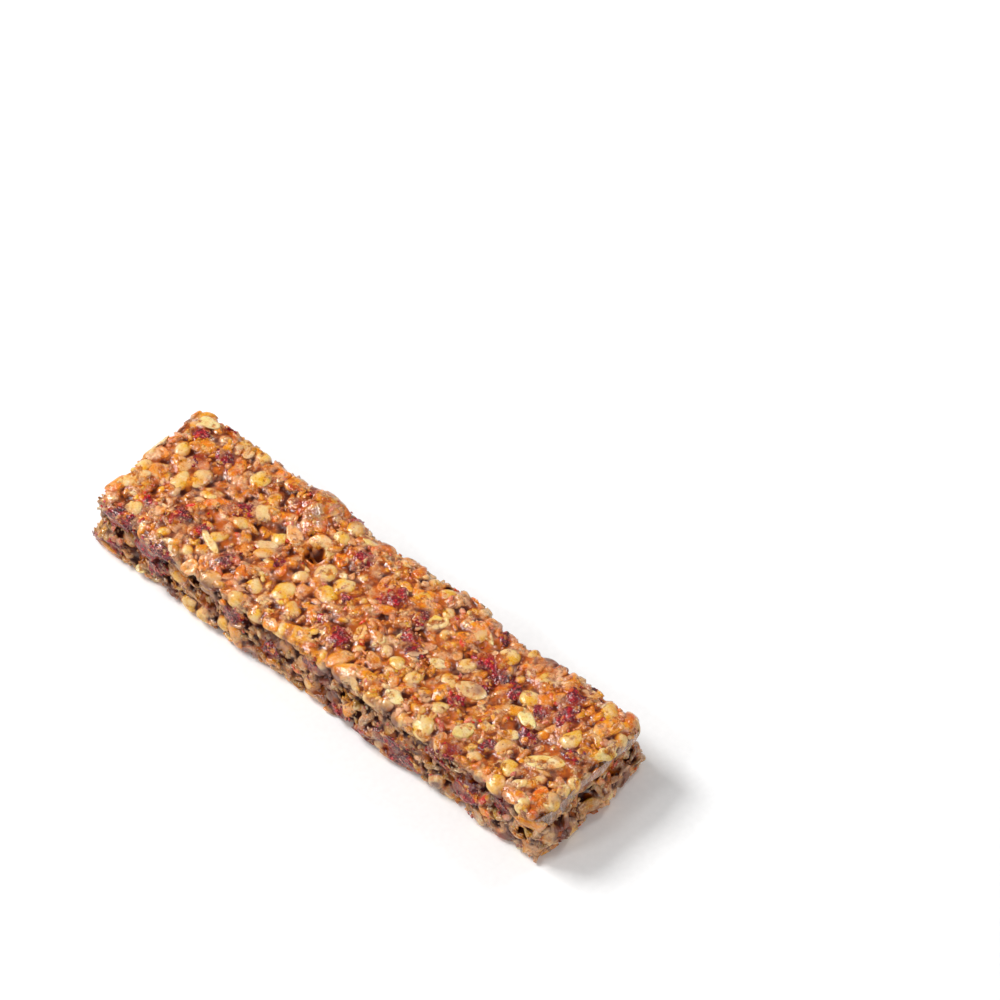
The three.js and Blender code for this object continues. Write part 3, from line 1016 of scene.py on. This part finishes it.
def store_rise(name):
    """Notes on a piece how far each of its points stands above the bar's smoothed surface."""
    mesh = bpy.data.objects[name].data
    hits = [(vert.co, broad_skin.find_nearest(vert.co)) for vert in mesh.vertices]
    rise = np.array([(place - hit[0]).dot(hit[1]) / MM for place, hit in hits])
    mesh.attributes.new("rise", "FLOAT", "POINT").data.foreach_set("value", rise)


for name in GRAIN_PIECES:
    store_rise(name)

# The syrup film. A skin of clear syrup hangs from the top edge over the right end, drawn out by the
# knife: thin as paper, longest at the near corner, with pale streaks painted along the pull as its
# highlights.
FILM_DROP = 2.2 * MM
FILM_TONGUE = 3.2 * MM
FILM_THICK = 0.12 * MM
FILM_REACH = 0.86
FILM_ACROSS = 48
FILM_FALL = 12
FILM_BELOW_RIM = 0.8 * MM
FILM_OFF = 0.12 * MM
FILM_RIPPLE = 0.2 * MM


def film_finish():
    material, tree, place, _ = start_finish("drawn syrup film")
    drawn = add(tree, "ShaderNodeMapping", Vector=place, Scale=(1.0, 3.0, 0.5)).outputs["Vector"]
    streak = speckle(tree, drawn, 0.8, 3.0)
    # Painted highlight: pale to white streaks along the pull.
    colour = blend(tree, remap(tree, streak, 0.48, 0.60), srgb(236, 204, 178), srgb(255, 250, 248))
    end_finish(tree, place, colour, streak, 0.15 * MM, Roughness=0.16, Transmission_Weight=0.8, IOR=1.35,
               Specular_IOR_Level=0.5)
    return material


film = bmesh.new()
bmesh.ops.create_grid(film, x_segments=FILM_ACROSS, y_segments=FILM_FALL, size=1)
for vert in film.verts:
    across, fall, _ = vert.co
    corner = Vector((bar_high.x - FILM_DROP, bar_middle.y + FILM_REACH * across * bar_half.y, bar_high.z))
    rim = skin.find_nearest(corner)[0]
    tongue = math.exp(-((across + 0.72) / 0.22) ** 2)
    ragged = 0.8 + 0.5 * noise.noise(Vector((across * 4, 0, 0)))
    drop = (FILM_DROP + FILM_TONGUE * tongue) * ragged * (1 - across ** 6) * (1 - fall) / 2
    beyond = Vector((bar_high.x + WELL_CLEAR, corner.y, rim.z - FILM_BELOW_RIM - drop))
    place = skin.ray_cast(beyond, Vector((-1, 0, 0)))[0]
    stand_off = FILM_OFF + FILM_RIPPLE * noise.noise(Vector((across * 5, fall * 1.5, 4)))
    vert.co = (place or rim) + Vector((stand_off, 0, 0))
soften(film, 2)
back = bmesh.ops.extrude_face_region(film, geom=film.faces[:])["geom"]
for vert in back:
    if isinstance(vert, bmesh.types.BMVert):
        vert.co.x -= FILM_THICK
bmesh.ops.recalc_face_normals(film, faces=film.faces)
film_points, film_faces = finished_shape(film)
finished_piece("syrup_film", inside_bar(film_points), film_faces, film_finish(), "granola")

# The table and the light. The bar lies on a plain pale sheet under a soft lamp high on its far end,
# with light from all round as in a white tent.
TABLE_SIZE = 3.0
BOX_SIZE = 0.36
BOX_POWER = 8.9
SIDE_POWER = 1.6
FILL_SIZE = 0.6
FILL_POWER = 4.0
TENT_LIGHT = 0.31
LAMP_FAR = 1.0
FILL_FAR = 1.2

table_form = bmesh.new()
bmesh.ops.create_grid(table_form, x_segments=8, y_segments=8, size=TABLE_SIZE)
bmesh.ops.translate(table_form, vec=(0, 0, bar_low.z - 0.02 * MM), verts=table_form.verts)
table_mesh = bpy.data.meshes.new("table")
table_form.to_mesh(table_mesh)
table_form.free()
table_finish, table_tree, sheet, _ = start_finish("white card")
fibre = speckle(table_tree, sheet, 0.8)
white = blend(table_tree, remap(table_tree, fibre, 0.3, 0.7), (0.90, 0.90, 0.90), (0.93, 0.93, 0.93))
end_finish(table_tree, sheet, white, fibre, 0.01 * MM, Roughness=0.8)
table_mesh.materials.append(table_finish)
table = bpy.data.objects.new("table", table_mesh)
bpy.context.scene.collection.objects.link(table)

tent = bpy.data.worlds.new("white tent")
tent.use_nodes = True
tent_wall = tent.node_tree.nodes["Background"]
tent_wall.inputs["Color"].default_value = (1, 1, 1, 1)
tent_wall.inputs["Strength"].default_value = TENT_LIGHT
bpy.context.scene.world = tent
bpy.context.scene.view_settings.view_transform = "Standard"


def hang_lamp(name, towards, distance, size, power):
    """A square soft lamp that looks at the bar from this direction."""
    light = bpy.data.lights.new(name, "AREA")
    light.shape = "SQUARE"
    light.size = size
    light.energy = power
    lamp = bpy.data.objects.new(name, light)
    direction = Vector(towards).normalized()
    lamp.location = bar_middle + direction * distance
    lamp.rotation_euler = direction.to_track_quat("Z", "Y").to_euler()
    bpy.context.scene.collection.objects.link(lamp)


hang_lamp("soft box", (-0.85, -0.2, 0.9), LAMP_FAR, BOX_SIZE, BOX_POWER)
hang_lamp("back light", (0.10, 0.85, 0.95), LAMP_FAR, BOX_SIZE / 2, SIDE_POWER)
hang_lamp("front light", (-0.35, -0.75, 0.9), LAMP_FAR, BOX_SIZE / 2, SIDE_POWER)
hang_lamp("fill light", (0.95, -0.30, 0.40), FILL_FAR, FILL_SIZE, FILL_POWER)

# The camera. It looks down on the near corner from far off through a long lens, so the bar's long
# edges stay almost parallel.
VIEW_AZIMUTH = math.radians(42.1)
VIEW_HEIGHT = math.radians(52.2)
VIEW_DISTANCE = 2.0
LENS = 373.4
SENSOR = 36
AIM_RIGHT = 0.21
AIM_UP = 0.207
right = Vector((math.cos(VIEW_AZIMUTH), math.sin(VIEW_AZIMUTH), 0))
level_back = Vector((math.sin(VIEW_AZIMUTH), -math.cos(VIEW_AZIMUTH), 0))
back = level_back * math.cos(VIEW_HEIGHT) + Vector((0, 0, math.sin(VIEW_HEIGHT)))
up = back.cross(right)
camera_data = bpy.data.cameras.new("camera")
camera_data.lens = LENS
camera_data.sensor_width = SENSOR
camera = bpy.data.objects.new("camera", camera_data)
bar_length = bar_high.x - bar_low.x
aim = bar_middle + right * (AIM_RIGHT * bar_length) + up * (AIM_UP * bar_length)
camera.location = aim + back * VIEW_DISTANCE
camera.rotation_euler = back.to_track_quat("Z", "Y").to_euler()
bpy.context.scene.collection.objects.link(camera)
bpy.context.scene.camera = camera
